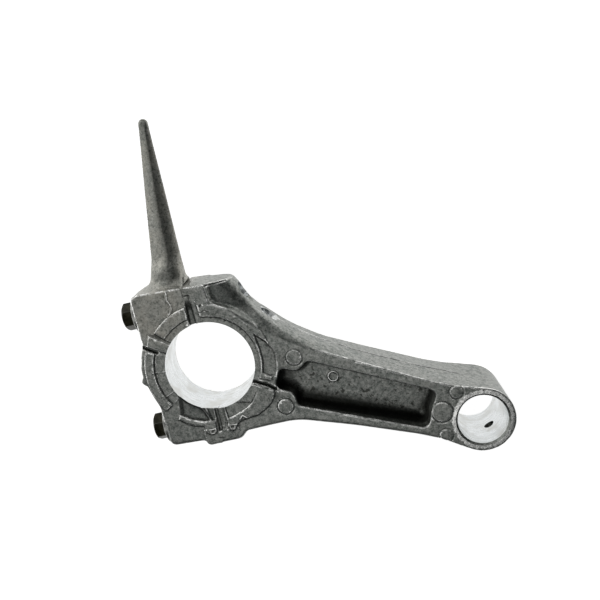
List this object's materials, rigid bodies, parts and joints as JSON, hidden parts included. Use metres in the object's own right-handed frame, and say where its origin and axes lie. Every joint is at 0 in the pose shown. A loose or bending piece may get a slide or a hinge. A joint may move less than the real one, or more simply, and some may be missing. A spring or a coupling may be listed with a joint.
{
  "type": "connecting rod",
  "caption": "Cast aluminium engine connecting rod with an obliquely split big end, a bolted cap carrying an oil dipper, and a pocketed shank.",
  "frame": {"origin": "crankpin axis at mid-width of the big end", "axes": "+Z along both bores, +X from the crankpin axis to the wrist pin axis, +Y towards the oil dipper"},
  "size_m": [0.1667, 0.1297, 0.033],
  "materials": {
    "cast_aluminium": "as die-cast, satin, with bare machined bores",
    "black_steel": "black oxide, oiled",
    "plated_steel": "plated, satin"
  },
  "bodies": {
    "rod": {"rod_body": "cast_aluminium"},
    "cap": {"bearing_cap": "cast_aluminium"},
    "upper_washer": {"bolt_washer_upper": "plated_steel"},
    "upper_bolt": {"cap_bolt_upper": "black_steel"},
    "lower_washer": {"bolt_washer_lower": "plated_steel"},
    "lower_bolt": {"cap_bolt_lower": "black_steel"}
  },
  "joints": [
    {"name": "cap_lift", "type": "slide", "parent": "rod", "child": "cap", "axis": [-0.9171, -0.3987, 0], "range_m": [0, 0.045]},
    {"name": "upper_washer_lift", "type": "slide", "parent": "cap", "child": "upper_washer", "axis": [-0.9171, -0.3987, 0], "range_m": [0, 0.0201]},
    {"name": "upper_bolt_turn", "type": "hinge", "parent": "upper_washer", "child": "upper_bolt", "pos_m": [-0.00985, 0.02265, 0], "axis": [-0.9171, -0.3987, 0], "range_deg": [0, 5760]},
    {"name": "lower_washer_lift", "type": "slide", "parent": "cap", "child": "lower_washer", "axis": [-0.9171, -0.3987, 0], "range_m": [0, 0.0201]},
    {"name": "lower_bolt_turn", "type": "hinge", "parent": "lower_washer", "child": "lower_bolt", "pos_m": [0.00947, -0.02178, 0], "axis": [-0.9171, -0.3987, 0], "range_deg": [0, 5760]}
  ],
  "couplings": [
    {"joint": "upper_washer_lift", "follows": "upper_bolt_turn", "m_per_rad": 0.00019894},
    {"joint": "lower_washer_lift", "follows": "lower_bolt_turn", "m_per_rad": 0.00019894}
  ]
}
